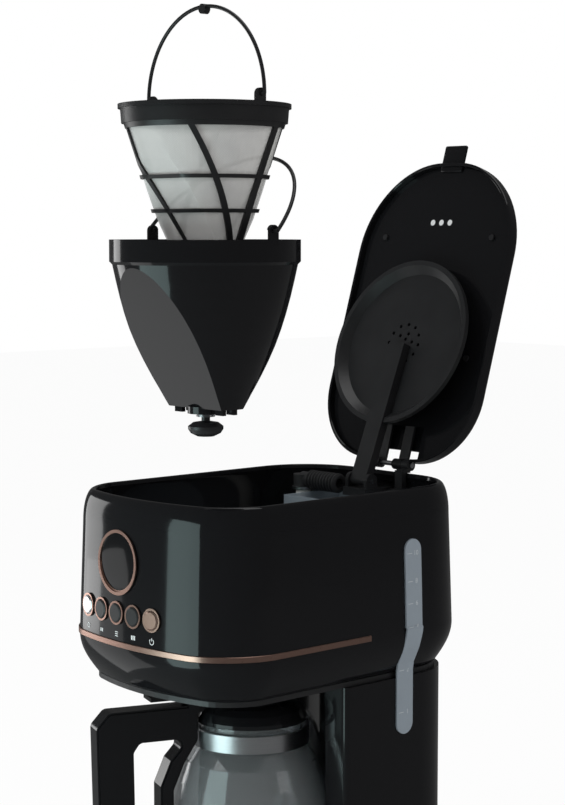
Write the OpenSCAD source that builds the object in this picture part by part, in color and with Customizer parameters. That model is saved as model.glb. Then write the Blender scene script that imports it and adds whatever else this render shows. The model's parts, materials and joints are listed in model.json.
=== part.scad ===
// Drip coffee maker: base with hotplate, column, head with a lidded brewing bay,
// lift-out filter holder and mesh filter, and a glass carafe.
// Millimetres. X is across the machine, the front faces -Y, Z is up from the worktop.

/* [Machine] */
// Width across the side walls of the head
unit_w = 200; // [194:1:206]
// Depth from the bowed front to the back
unit_d = 276; // [272:1:282]
// How far the front bows out at its middle
bow = 18; // [12:1:20]
// Plan radius of the front corners
front_r = 40; // [38:1:44]
// Plan radius of the back corners
back_r = 62; // [60:1:66]
// Wall of the moulded shells
wall = 2.6; // [2:0.1:3]

/* [Heights] */
// Height of the rim round the top opening
rim_z = 330; // [328:1:334]
// Height of the underside of the trim strip
trim_z = 221; // [218:1:224]
// Height of the brewing bay's floor
bay_z = 190; // [188:1:191]
// Height of the top of the base
base_z = 34; // [32:1:35]

/* [Lid] */
// Half the width of the lid
lid_hw = 84; // [80:1:86]
// Length of the lid from its hinge to its front edge
lid_len = 254; // [250:1:256]
// Corner radius of the lid's front end
lid_r = 76; // [74:1:78]
// Angle that the lid stands open
lid_open = 107; // [100:1:108]
// Distance of the lid hinge behind the middle of the machine
hinge_y = 131; // [130:0.5:132]
// Height of the lid hinge above the rim
hinge_up = 6; // [5:0.5:7]

/* [Shower arm] */
// Distance of the arm's pivot behind the middle of the machine
arm_y = 100; // [98:1:102]
// Angle that the arm stands open
arm_open = 112; // [108:1:114]
// Width of the arm
arm_w = 17; // [15:0.5:19]
// Diameter of the shower disc
disc_d = 140; // [136:1:142]
// Diameter of one shower hole
shower_hole_d = 3; // [2:0.2:3.4]

/* [Filter holder] */
// Radius of the holder's rim
holder_r = 66; // [64:0.5:67]
// Height of the holder from its feet to its rim
holder_h = 120; // [116:1:122]
// Height of the straight band below the rim
holder_band = 17; // [15:1:20]
// How far the holder's side swells out between rim and feet
holder_swell = 3.5; // [2:0.5:4]
// Wall of the holder
holder_wall = 2.2; // [2:0.1:2.6]
// Radius of the holder's cone at its lower end
holder_low_r = 34; // [32:0.5:35]
// Slope of the flat front and back of the holder
facet_tilt = 29; // [28:0.5:30]
// Distance of the lifted holder to the side of its seat
lift_side = 77; // [74:1:80]
// Distance of the lifted holder in front of its seat
lift_front = 108; // [104:1:112]
// Height of the lifted holder above its seat
lift_rise = 208; // [204:1:212]

/* [Mesh filter] */
// Radius of the filter's rim
filter_r = 59.5; // [58:0.5:60]
// Height of the filter
filter_h = 100; // [96:1:102]
// Height of the filter above its seat in the holder
filter_rise = 92; // [90:1:98]
// Radius of the bottom of the filter
filter_foot_r = 29; // [27:0.5:29.5]
// Half the width of the filter's bottom between its flat sides
filter_low_w = 11; // [9:0.5:12]

/* [Carafe] */
// Largest radius of the glass
glass_r = 63; // [60:0.5:64]
// Radius of the collar band
band_r = 45; // [43:0.5:46]
// Distance of the carafe's axis in front of the middle of the machine
carafe_y = 18; // [16:1:20]
// Angle of the handle from straight ahead
handle_turn = 20; // [10:1:26]
// Reach of the handle from the carafe's axis
handle_reach = 126; // [120:1:130]
// Thickness of the handle
handle_t = 19; // [16:1:22]

/* [Controls] */
// Radius of the display ring
ring_r = 24; // [22:0.5:25]
// Radius of one button
button_r = 7; // [6.5:0.1:7.4]
// Spacing of the buttons
button_gap = 20; // [19:0.5:21]
// Travel of a button
button_travel = 1.2; // [0.8:0.1:1.6]

/* [Hidden] */
$fn = 64;
fit = 0.3;            // running clearance round pins and sliding fits
gap = 0.1;            // clearance between faces that are fixed together
shell_fn = 9;         // steps in each plan corner
black = [0.03, 0.03, 0.035];
dark = [0.07, 0.07, 0.08];
copper = [0.72, 0.45, 0.36];
steel = [0.75, 0.76, 0.78];
trim_h = 4.5;
trim_out = 0.9;
skirt_in = 13;        // inset of the skirt's lower edge
column_in = 10;       // inset of the column and the base
column_y = -2;        // front of the column's wings
niche_r = glass_r + 6;
floor_t = 4;
tank_x0 = -46;
tank_y0 = 58;
tank_in = 18;
pin_r = 2;
button_x = 8;
button_z = 246;
ring_x = -12;
ring_z = 283;
carafe_floor_z = base_z + 4.4;
hinge_z = rim_z + hinge_up;
arm_z = rim_z - 5.5;
arm_h = 8;
arm_len = arm_y + carafe_y;
lid_z = rim_z + 1.5;
facet_top = 63;       // distance of the flat's plane from the axis at the band
gland_x = -12;
bail_r = 1.3;
ear_h = 9;
holder_pin_z = holder_h + 6;
filter_pin_z = filter_h + 4.5;
holder_bail_tilt = 42;
knob_drop = 16;
gauge_y = 58;
gauge_w = 17;
gauge_top = 293;
gauge_bottom = 142;

// Inset of the outer wall from its widest plan, at a height
wall_in = [[trim_z, 0], [trim_z + 40, 1.2], [rim_z - 24, 3], [rim_z - 14, 4.5],
    [rim_z - 6, 7], [rim_z, 10.5]];
skirt_wall_in = [[bay_z, skirt_in], [bay_z + 6, skirt_in - 3.4], [trim_z - 12, 3.4],
    [trim_z - 4, 0.8], [trim_z - 0.12, 0]];
function inset_at(z) = lookup(z, z >= trim_z ? wall_in : skirt_wall_in);

// Plan outline of the machine, inset by i
function arc(cx, cy, r, a0, a1, n) =
    [for (k = [0:n]) let (a = a0 + (a1 - a0) * k / n) [cx + r * cos(a), cy + r * sin(a)]];
function bowed(p, w, f) = [p[0], p[1] < 0 ? p[1] - bow * (1 - pow(p[0] / w, 2)) * pow(p[1] / f, 2) : p[1]];
function plan(i) = let (w = unit_w / 2 - i, b = unit_d / 2 - i, f = unit_d / 2 - bow - i,
        rf = max(front_r - i, 6), rb = max(back_r - i, 6), n = shell_fn)
    [for (p = concat(arc(w - rf, rf - f, rf, -90, 0, n), arc(w - rb, b - rb, rb, 0, 90, n),
            arc(rb - w, b - rb, rb, 90, 180, n), arc(rf - w, rf - f, rf, 180, 270, n),
            [for (k = [1:7]) [(rf - w) * (1 - k / 4), -f]])) bowed(p, w, f)];
function front_y(x, i = 0) = -(unit_d / 2 - i) + bow * pow(x / (unit_w / 2 - i), 2);
function front_turn(x) = atan(2 * bow * x / pow(unit_w / 2, 2));

module slab(i, z, h = 0.02) translate([0, 0, z]) linear_extrude(h) polygon(plan(i));
// Solid through a list of [height, inset] pairs
module loft(list, more = 0) hull() for (s = list) slab(s[1] + more, s[0]);
module tube(r, ri, h) difference() {
    cylinder(r = r, h = h);
    translate([0, 0, -1]) cylinder(r = ri, h = h + 2);
}
// Bar along X, centred
module rod(r, l) rotate([0, 90, 0]) cylinder(r = r, h = l, center = true);
// Everything seen along the front wall's normal at x and z
module on_front(x, z) translate([x, front_y(x, inset_at(z)), z]) rotate([0, 0, front_turn(x)])
    rotate([90, 0, 0]) children();
// The same, leaning back with the wall
function front_lean(z) = atan((inset_at(z + 12) - inset_at(z - 12)) / 24);
module on_face(x, z) translate([x, front_y(x, inset_at(z)), z]) rotate([0, 0, front_turn(x)])
    rotate([90 - front_lean(z), 0, 0]) children();
module at_carafe() translate([0, -carafe_y, 0]) children();
module at_handle() at_carafe() rotate([0, 0, -handle_turn]) children();
module at_holder() translate([lift_side, -carafe_y - lift_front, bay_z + lift_rise]) children();
module at_filter() at_holder() translate([0, 0, holder_h - filter_h + filter_rise]) children();
module at_lid() translate([0, hinge_y, hinge_z]) rotate([-lid_open, 0, 0])
    translate([0, -hinge_y, -hinge_z]) children();
module at_arm() translate([0, arm_y, arm_z]) rotate([-arm_open, 0, 0])
    translate([0, -arm_y, -arm_z]) children();
module screw(r, l) {
    cylinder(r = r * 1.9, h = 1.8);
    translate([0, 0, -l]) cylinder(r = r, h = l + 0.1);
}

// ---- Base ----
foot_spots = [[62, -84], [-62, -84], [60, 96], [-60, 96], [0, 0]];
screw_spots = [[72, 0], [-72, 0], [0, -112], [0, 116]];
module base_loft(list) for (k = [1:len(list) - 1]) hull() {
    slab(column_in + list[k - 1][1], list[k - 1][0]);
    slab(column_in + list[k][1], list[k][0]);
}
module base_shell() color(black) difference() {
    base_loft([[5, 0], [12, 0], [18, 0], [base_z - 8, 0], [base_z - 5, 0.5], [base_z - 3.4, 1], [base_z - 2, 1.7],
        [base_z - 1, 2.6], [base_z, 4]]);
    slab(column_in + wall, 4, base_z - wall - 8);
    at_carafe() cylinder(r = 66, h = 60);
    // passages up into the column
    translate([-60, 92, 20]) cylinder(r = 6.3, h = 30);
    translate([30, 92, 20]) cylinder(r = 6.3, h = 30);
    translate([gland_x, unit_d / 2, 18]) rotate([90, 0, 0]) cylinder(r = 6, h = 40);
}
module bottom_cover() color(dark) difference() {
    slab(column_in + wall + 0.3, 4.4, 2.4);
    for (p = screw_spots) translate([p[0], p[1], 0]) cylinder(r = 1.8, h = 20);
    for (k = [-4:4]) translate([k * 9 - 2, 40, 0]) cube([4, 40, 20]);
}
module rubber_feet() color(dark) for (p = foot_spots) translate([p[0], p[1], 0]) rotate_extrude()
    polygon([[0, 0], [8, 0], [9, 1], [9.5, 4.3], [0, 4.3]]);
module case_screws() color(steel) for (p = screw_spots) translate([p[0], p[1], 4.3])
    rotate([180, 0, 0]) screw(1.6, 9);
module hotplate() color([0.12, 0.12, 0.13]) at_carafe() translate([0, 0, base_z]) rotate_extrude()
    polygon([[0, 1], [52, 1], [54, 0], [62, 0], [62, 3], [60.5, 4], [54, 4], [52, 3.4], [0, 3.4]]);
module hotplate_ring() color(copper) at_carafe() translate([0, 0, base_z]) rotate_extrude()
    polygon([[62.3, 0.2], [65.7, 0.2], [68.7, 0.2], [68, 1.6], [64, 2.6], [62.3, 2.2]]);
// Looped heater under the plate, with its water channel
module flow_heater() color(steel) at_carafe() translate([0, 0, base_z - 9]) {
    intersection() {
        rotate_extrude() translate([40, 0]) circle(r = 6);
        translate([-60, -60, -10]) cube([120, 96, 20]);
    }
    for (s = [-1, 1]) translate([s * 18, 50.5, 0]) rotate([90, 0, 0]) tube(5, 3.5, 14);
    translate([-30, -42, 6.1]) cube([60, 84, 3.7]);
}
module thermostat() color([0.6, 0.6, 0.62]) at_carafe() translate([0, 0, base_z - 9]) {
    translate([0, 0, -4]) cylinder(r = 8, h = 9.9);
    translate([-13, -4, -5.5]) cube([26, 8, 1.4]);
}
module power_board() color([0.1, 0.3, 0.16]) {
    translate([-52, 86, base_z + 0.3]) cube([46, 1.6, 60]);
    translate([-46, 76, base_z + 12]) cube([18, 10.1, 16]);
    translate([-24, 78, base_z + 36]) cube([14, 8.1, 12]);
}
module cord_gland() color(dark) translate([gland_x, unit_d / 2 - column_in, 18]) rotate([90, 0, 0])
    difference() {
        union() {
            translate([0, 0, -4]) cylinder(r = 9, h = 3.8);
            translate([0, 0, -1]) cylinder(r = 5.7, h = 16);
        }
        translate([0, 0, -5]) cylinder(r = 3.4, h = 30);
    }

// ---- Column ----
module column_plan(i) intersection() {
    polygon(plan(column_in + i));
    translate([-150, column_y + i]) square([300, 200]);
}
module column_housing() color(black) translate([0, 0, base_z + gap]) difference() {
    linear_extrude(bay_z - floor_t - base_z - 2 * gap) difference() {
        column_plan(0);
        translate([0, -carafe_y]) circle(r = niche_r);
    }
    translate([0, 0, -1]) linear_extrude(bay_z) difference() {
        column_plan(wall);
        translate([0, -carafe_y]) circle(r = niche_r + wall);
    }
    translate([-40, 110, 20]) cube([80, 40, 100]);
}
module column_back() color(dark) difference() {
    intersection() {
        translate([-39.6, 120, base_z + 20.5]) cube([79.2, 30, 99.2]);
        slab(column_in + 0.1, base_z, 200);
        difference() { slab(column_in, base_z, 200); slab(column_in + 2.2, base_z - 1, 202); }
    }
    for (k = [0:7]) translate([-26, 100, base_z + 40 + k * 8]) cube([52, 60, 3]);
}
module riser_tube() color([0.85, 0.85, 0.83]) translate([-60, 92, 16]) tube(6, 4.2, rim_z - 30);
module feed_tube() color([0.85, 0.85, 0.83]) translate([30, 92, 16]) tube(6, 4.2, bay_z - 16);

// ---- Head ----
module head_skirt() color(black) difference() {
    loft(skirt_wall_in);
    loft([for (s = skirt_wall_in) s], wall);
    slab(skirt_in + wall - 0.3, bay_z - 1, 8);
}
module bay_floor() color(dark) difference() {
    union() {
        slab(skirt_in + 0.4, bay_z - floor_t, floor_t - gap);
        at_carafe() translate([0, 0, bay_z - 8]) tube(34, 30, 4.2);
    }
    // outlet for the drip stop, long enough for its slanting way in
    at_carafe() for (k = [0:3]) translate([lift_side, -lift_front, 0] * k * 0.028)
        cylinder(r = 14.5, h = rim_z);
    translate([-60, 92, 0]) cylinder(r = 6.2, h = rim_z);
    translate([30, 92, 0]) cylinder(r = 6.2, h = rim_z);
}
module head_housing() color(black) difference() {
    loft(wall_in);
    loft(wall_in, wall);
    slab(wall + 0.1, trim_z - 1, 3);
    slab(12.5, rim_z - 4, 12);
    on_face(ring_x, ring_z) translate([0, 0, -9]) cylinder(r = ring_r - 1.8, h = 20);
    for (k = [-3:1]) on_front(button_x + k * button_gap, button_z) translate([0, 0, -9])
        cylinder(r = button_r + fit, h = 20);
}
module head_trim() color(copper) translate([0, 0, trim_z]) linear_extrude(trim_h)
    intersection() {
        difference() { polygon(plan(-trim_out)); polygon(plan(-gap)); }
        translate([-150, -200]) square([300, 213]);
    }
module tank_plan(i) intersection() {
    polygon(plan(tank_in + i));
    translate([tank_x0 + i, tank_y0 + i]) square([200, 200]);
}
module water_tank() color([0.6, 0.63, 0.66, 0.6]) difference() {
    translate([0, 0, bay_z + gap]) linear_extrude(rim_z - bay_z - 18) tank_plan(0);
    translate([0, 0, bay_z + 3]) linear_extrude(rim_z) tank_plan(2.2);
    translate([30, 92, 0]) cylinder(r = 4.2, h = rim_z);
}
module float_ball() color([0.85, 0.3, 0.2]) translate([64, 66, bay_z + 7.1]) sphere(r = 4);
// Strip that follows the side wall from the head down onto the column
gauge_line = concat([for (z = [gauge_top, rim_z - 45, trim_z + 40, trim_z + trim_h + 1]) [unit_w / 2 - inset_at(z), z]],
    [[unit_w / 2 + trim_out, trim_z + trim_h], [unit_w / 2, trim_z - 1]],
    [for (z = [trim_z - 5, trim_z - 12, bay_z + 7]) [unit_w / 2 - inset_at(z), z]],
    [[unit_w / 2 - column_in, bay_z + 1], [unit_w / 2 - column_in, gauge_bottom - 2]]);
module water_gauge() color([0.55, 0.62, 0.7, 0.6]) intersection() {
    translate([0, gauge_y + gauge_w / 2, 0]) rotate([90, 0, 0]) linear_extrude(gauge_w)
        polygon(concat([for (p = gauge_line) p + [0.15, 0]],
            [for (k = [len(gauge_line) - 1:-1:0]) gauge_line[k] + [1.6, 0]]));
    hull() for (z = [gauge_top - gauge_w / 2, gauge_bottom + gauge_w / 2])
        translate([60, gauge_y, z]) rotate([0, 90, 0]) cylinder(r = gauge_w / 2, h = 60);
}

// ---- Controls ----
module display_ring() color(copper) on_face(ring_x, ring_z) {
    translate([0, 0, 0.1]) tube(ring_r, ring_r - 2.4, 1.2);
    translate([0, 0, -5]) tube(ring_r - 1.9, ring_r - 3.6, 5.3);
}
module display_window() color([0.02, 0.02, 0.025]) on_face(ring_x, ring_z) translate([0, 0, -3.4])
    cylinder(r = ring_r - 3.7, h = 2.6);
// Board with its display, two bosses to the wall and a switch behind each button
module display_board() color([0.1, 0.3, 0.16]) {
    on_front(ring_x - 4, ring_z) {
        translate([-42, -52, -24]) cube([92, 78, 1.6]);
        translate([-14, -12, -22.6]) cube([36, 24, 16]);
        for (s = [-1, 1]) translate([4 + s * 29, 4, -22.6]) cylinder(r = 3, h = 16.8);
    }
    for (k = [-3:1]) on_front(button_x + k * button_gap, button_z) translate([0, 0, -25])
        cylinder(r = 2.8, h = 10.1);
}
module button_rings() color(copper) for (k = [-3:1])
    on_face(button_x + k * button_gap, button_z) translate([0, 0, 0.25])
        tube(button_r + 1.7, button_r + fit, 1.1);
module button(k, tint) color(tint) on_front(button_x + (k - 4) * button_gap, button_z) {
    translate([0, 0, -5]) cylinder(r = button_r, h = 5.4 + button_travel);
    translate([0, 0, 0.3 + button_travel]) cylinder(r1 = button_r, r2 = button_r - 1, h = 0.8);
    translate([0, 0, -8]) cylinder(r = 3, h = 3.1);
}
module button_springs() color(steel) for (k = [-3:1])
    on_front(button_x + k * button_gap, button_z) translate([0, 0, -14])
        for (j = [0:3]) translate([0, 0, j * 1.1]) rotate_extrude() translate([2.2, 0]) circle(r = 0.4, $fn = 16);
module button_1() button(1, steel);
module button_2() button(2, dark);
module button_3() button(3, dark);
module button_4() button(4, dark);
module button_5() button(5, copper);

// ---- Hinges and hose ----
module hinge_bracket() color(dark) difference() {
    union() {
        translate([-13, 92, rim_z - 17.7]) cube([26, 34, 6.7]);
        for (s = [-1, 1]) translate([s * (arm_w / 2 + 2.1), 0, 0]) {
            translate([-1.7, 94, rim_z - 12]) cube([3.4, 12, 6]);
            translate([0, arm_y, arm_z]) rod(6, 3.4);
        }
        for (s = [-1, 1]) translate([s * 22 - 4, 120, rim_z - 17]) cube([8, 5, 19.5]);
        for (s = [-1, 1]) translate([s * 22, hinge_y, hinge_z]) rod(4.4, 8);
        for (s = [-1, 1]) translate([s * 22 - 4, 122, rim_z + 0.3]) cube([8, 8, 3.4]);
        translate([-26, 116, rim_z - 17.4]) cube([52, 13.5, 5.2]);
    }
    translate([0, arm_y, arm_z]) rod(pin_r + gap, 60);
    translate([0, hinge_y, hinge_z]) rod(pin_r + gap, 90);
}
module lid_pin() color(steel) translate([0, hinge_y, hinge_z]) rod(pin_r, 54);
module arm_pin() color(steel) translate([0, arm_y, arm_z]) rod(pin_r, arm_w + 8);
module shower_hose() color(dark) translate([-60, 92, rim_z - 13.5]) {
    difference() {
        union() {
            translate([9.4, 0, 4.4]) rotate([0, 90, 0]) for (j = [0:9]) translate([0, 0, j * 3.4])
                rotate_extrude() polygon([[0, 0], [6, 0], [8, 1.2], [8, 2.4], [6, 3.5], [0, 3.5]]);
            translate([0, 0, -4]) cylinder(r = 8, h = 12.4);
            translate([0, 0, 4.4]) rotate([0, 90, 0]) cylinder(r = 6, h = 11);
        }
        translate([0, 0, -5]) cylinder(r = 6.1, h = 5.5);
        translate([0, 0, 4.4]) rotate([0, 90, 0]) cylinder(r = 4, h = 60);
        cylinder(r = 4, h = 5);
    }
}
module hose_clips() color(steel) {
    translate([-60, 92, rim_z - 17]) tube(9.2, 8.1, 1.8);
    translate([30, 92, bay_z - 12]) tube(7.6, 6.1, 4);
}

// ---- Lid ----
lid_back_r = 58;
function lid_plan(i) = let (f = hinge_y - lid_len + lid_r, b = hinge_y - 2 - lid_back_r, n = 14)
    concat(arc(lid_hw - lid_r, f, lid_r - i, -90, 0, n), arc(lid_hw - lid_back_r, b, lid_back_r - i, 0, 90, n),
        arc(lid_back_r - lid_hw, b, lid_back_r - i, 90, 180, n), arc(lid_r - lid_hw, f, lid_r - i, 180, 270, n));
module lid_slab(i, z, h = 0.02) translate([0, 0, z]) linear_extrude(h) polygon(lid_plan(i));
// Dished shell through a list of [height, inset] pairs
module lid_loft(list) for (k = [1:len(list) - 1]) hull() {
    lid_slab(list[k - 1][1], lid_z + list[k - 1][0]);
    lid_slab(list[k][1], lid_z + list[k][0]);
}
module lid_outer() color(black) at_lid() difference() {
    union() {
        lid_loft([[0, 0], [8, 0], [11.5, 1.6], [13.4, 4], [14.8, 8], [16, 16]]);
    }
    lid_loft([[-1, wall], [8, wall], [12, wall + 4], [13.6, wall + 12]]);
    translate([-27, hinge_y - 13, lid_z - 6]) cube([54, 30, 40]);
}
// Finger tab at the front of the lid
module lid_tab() color(black) at_lid() translate([-12, hinge_y - lid_len - 16, lid_z + 3]) cube([24, 15.8, 3.5]);
module lid_knuckles() color(dark) at_lid() difference() {
    union() for (s = [-1, 1]) {
        translate([s * 12.5, hinge_y, hinge_z]) rod(4.4, 10);
        translate([s * 12.5 - 5, hinge_y - 44, hinge_z + 3.1]) cube([10, 44, 2.2]);
    }
    translate([0, hinge_y, hinge_z]) rod(pin_r + fit, 90);
}
module lid_inner() color(black) at_lid() difference() {
    lid_slab(wall + 0.3, lid_z + 5.5, 2);
    for (k = [-1:1]) translate([k * 9.5, hinge_y - lid_len + 50, 0]) cylinder(r = 2.6, h = 600);
    translate([-30, hinge_y - 32, 0]) cube([60, 60, 600]);
}
module lid_screws() color(steel) at_lid() for (s = [-1, 1], y = [40, -60])
    translate([s * 60, y, lid_z + 5.3]) rotate([180, 0, 0]) screw(1.3, 0.1);

// ---- Shower ----
module shower_arm() color(dark) at_arm() difference() {
    union() {
        translate([-arm_w / 2, -carafe_y + 2, arm_z - arm_h / 2]) cube([arm_w, arm_len - 2, 2]);
        for (s = [-1, 1]) translate([s * (arm_w / 2 - 1) - 1, -carafe_y + 2, arm_z - arm_h / 2])
            cube([2, arm_len - 2, arm_h - 0.6]);
        translate([-arm_w / 2, -carafe_y + 2, arm_z - arm_h / 2]) cube([arm_w, 2, arm_h - 0.6]);
        translate([0, arm_y, arm_z]) rod(arm_h / 2, arm_w);
    }
    translate([0, arm_y, arm_z]) rod(pin_r + fit, 60);
}
// Cup over the holder, with the shower holes in its middle
module shower_disc() color(dark) at_arm() at_carafe() translate([0, 0, arm_z]) difference() {
    rotate_extrude($fn = 128) polygon([[0, 3.6], [disc_d / 2 - 10, 3.6], [disc_d / 2 - 4, -3],
        [disc_d / 2, -3], [disc_d / 2, 1], [disc_d / 2 - 7, 5.8], [0, 5.8]]);
    translate([-arm_w / 2 - fit, 0, -10]) cube([arm_w + 2 * fit, 100, 13.5]);
    for (ring = [[0, 1], [8, 6], [16, 12]], k = [0:ring[1] - 1])
        rotate([0, 0, 360 * k / ring[1] + 15]) translate([ring[0], -4, -10])
            cylinder(r = shower_hole_d / 2, h = 30, $fn = 24);
}

// ---- Filter holder ----
cone_z = 14;
function holder_side(n, r0, r1, z0, z1, swell) =
    [for (k = [0:n]) [r0 + (r1 - r0) * k / n + swell * sin(180 * k / n), z0 + (z1 - z0) * k / n]];
// Space between the two sloping flats, moved in by i
module behind_flat(y, z) translate([0, y, z]) rotate([facet_tilt, 0, 0])
    translate([-90, 0, -200]) cube([180, 300, 400]);
module flats(i) intersection() {
    behind_flat(i - facet_top, cone_z + holder_h - 34);
    rotate([0, 0, 180]) behind_flat(i - facet_top, cone_z + holder_h - 34);
}
module holder_body() color(black) at_holder() difference() {
    union() {
        intersection() {
            rotate_extrude($fn = 96) polygon(concat([[0, 4], [holder_low_r - 4, 4]],
                holder_side(8, holder_low_r, holder_r - 2, cone_z, holder_h - holder_band, holder_swell),
                [[holder_r, holder_h - holder_band + 2], [holder_r, holder_h], [0, holder_h]]));
            union() {
                flats(0);
                translate([-90, -90, holder_h - holder_band]) cube([180, 180, 60]);
            }
        }
        // feet at both ends of the bottom
        for (s = [-1, 1], t = [-1, 1]) translate([s * 22 - 4, t * 5 - 1.5, 0]) cube([8, 3, cone_z]);
        tube(12.6, 9, 5);
        // ears for the bail
        for (s = [-1, 1]) translate([s * (holder_r - 1.5) - 1.5, 5, holder_h - 3]) {
            translate([0, -4, 0]) cube([3, 8, ear_h]);
            translate([1.5, 0, ear_h]) rod(4, 3);
        }
    }
    intersection() {
        translate([0, 0, 6.5]) rotate_extrude($fn = 96) polygon([[0, 0], [holder_low_r - 7, 0],
            [holder_low_r - holder_wall, cone_z - 5],
            [holder_r - 2 - holder_wall, holder_h - holder_band - 6.5],
            [holder_r - holder_wall, holder_h - holder_band - 4], [holder_r - holder_wall, holder_h],
            [0, holder_h]]);
        union() {
            flats(holder_wall * 1.2);
            translate([-90, -90, holder_h - holder_band + 3]) cube([180, 180, 60]);
        }
    }
    // outlet bore
    translate([0, 0, -1]) cylinder(r = 4, h = 20);
    for (s = [-1, 1]) translate([s * holder_r, 5, holder_pin_z]) rod(bail_r + fit, 12);
}
// Bail: wire arch between two pivots, in the plane of its own X and Z
module bail(half, wire) rotate([90, 0, 0]) intersection() {
    rotate_extrude($fn = 96) translate([half, 0]) circle(r = wire, $fn = 20);
    translate([-half - 10, 0, -10]) cube([2 * half + 20, half + 20, 20]);
}
module holder_bail() color(dark) at_holder() translate([0, 5, holder_pin_z]) rotate([-holder_bail_tilt, 0, 0]) {
    bail(holder_r + 3.2, bail_r);
    for (s = [-1, 1]) translate([s * (holder_r + 0.4), 0, 0]) rod(bail_r, 5.6);
}
module valve_stem() color(dark) at_holder() {
    translate([0, 0, -knob_drop]) rotate_extrude() polygon([[0, 0], [6, 0], [10.5, 2.2], [12.3, 5], [12.3, 7],
        [9, 9.6], [3, 10.6], [3, knob_drop + 7.2], [0, knob_drop + 7.2]]);
}
module valve_spring() color(steel) at_holder() for (j = [0:5]) translate([0, 0, j * 1.1 - 2])
    rotate_extrude() translate([6.2, 0]) circle(r = 0.4, $fn = 16);
module valve_seal() color([0.5, 0.1, 0.08]) at_holder() translate([0, 0, 6.6]) tube(7, 3.1, 1.6);

// ---- Mesh filter ----
function filter_radius(z) = filter_foot_r + (filter_r - 4.5 - filter_foot_r) * z / (filter_h - 14);
// Cone with two flats, grown by out
module filter_cone(out, z0, z1) intersection() {
    rotate_extrude($fn = 96)
        polygon([[0, z0], [filter_radius(z0) + out, z0], [filter_radius(z1) + out, z1], [0, z1]]);
    behind_flat(-filter_low_w - out, 0);
    rotate([0, 0, 180]) behind_flat(-filter_low_w - out, 0);
}
// Square bar from point a to point b
module stick(a, b, r) let (d = b - a) translate(a) rotate([0, acos(d[2] / norm(d)), atan2(d[1], d[0])])
    translate([-r, -r, 0]) cube([2 * r, 2 * r, norm(d)]);
// Rim with its ears
module filter_frame() color(black) at_filter() difference() {
    union() {
        difference() {
            union() {
                translate([0, 0, filter_h - 13]) cylinder(r1 = filter_r - 2.4, r2 = filter_r - 1.6, h = 10.1);
                translate([0, 0, filter_h - 3]) cylinder(r = filter_r, h = 3);
            }
            translate([0, 0, filter_h - 14]) cylinder(r1 = filter_r - 5.2, r2 = filter_r - 4, h = 16);
        }
        for (s = [-1, 1]) translate([s * (filter_r - 2) - 1.5, 0, filter_h - 1]) {
            translate([0, -4, 0]) cube([3, 8, 5]);
            translate([1.5, 0, 5.5]) rod(4, 3);
        }
    }
    for (s = [-1, 1]) translate([s * filter_r, 0, filter_pin_z]) rod(bail_r + fit, 12);
}
// Outline of the cone at a height, grown by out
module filter_section(out, z) translate([0, 0, z]) linear_extrude(0.02) intersection() {
    circle(r = filter_radius(z) + out, $fn = 72);
    square([200, 2 * (filter_low_w + out + z * tan(facet_tilt))], center = true);
}
module filter_wall(out, list) for (k = [1:len(list) - 1]) hull() {
    filter_section(out, list[k - 1]);
    filter_section(out, list[k]);
}
// Upright-sided hoop whose top is at z
module hoop_solid(out, z, h) intersection() {
    cylinder(r = filter_radius(z) + out, h = h);
    translate([-80, -filter_low_w - out - z * tan(facet_tilt), -1])
        cube([160, 2 * (filter_low_w + out + z * tan(facet_tilt)), h + 2]);
}
module hoop(z, h) translate([0, 0, z - h]) difference() {
    hoop_solid(0.9, z, h);
    translate([0, 0, -1]) hoop_solid(-0.7, z, h + 2);
}
function flat_y(z) = filter_low_w + 0.6 + z * tan(facet_tilt);
function round_y(x, z) = sqrt(pow(filter_radius(z) + 0.6, 2) - x * x);
// Bottom, hoops and ribs under the rim
module filter_ribs() color(black) at_filter() {
    intersection() {
        cylinder(r = filter_foot_r + 0.8, h = 2);
        translate([-80, -filter_low_w - 1.4, -1]) cube([160, 2 * filter_low_w + 2.8, 4]);
    }
    for (z = [26.6, 49.6, filter_h - 13.2]) hoop(z, z > 60 ? 5 : 2.6);
    for (s = [0, 180]) rotate([0, 0, s]) {
        for (t = [-1, 1]) {
            stick([21, t * flat_y(1), 1], [26.8, t * flat_y(30), 30], 1.2);
            stick([26.5, t * flat_y(29), 29], [36, t * round_y(36, filter_h - 15), filter_h - 15], 1.1);
        }
        stick([filter_foot_r, 6, 1], [filter_radius(filter_h - 15) - 0.4, 9, filter_h - 15], 1.2);
    }
}
module filter_mesh() color([0.85, 0.85, 0.82, 0.5]) at_filter() difference() {
    translate([0, 0, 2.2]) filter_wall(-1.1, [0, 20, 40, 60, filter_h - 17]);
    translate([0, 0, 2.9]) filter_wall(-1.7, [0, 20, 40, 60, filter_h - 16]);
}
module filter_bail() color(dark) at_filter() translate([0, 0, filter_pin_z]) {
    bail(filter_r + 2.3, bail_r);
    for (s = [-1, 1]) translate([s * (filter_r - 0.2), 0, 0]) rod(bail_r, 5);
    translate([0, 0, filter_r + 0.6]) rotate([90, 0, 0]) cylinder(r = 3.4, h = 5, center = true);
}

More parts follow.
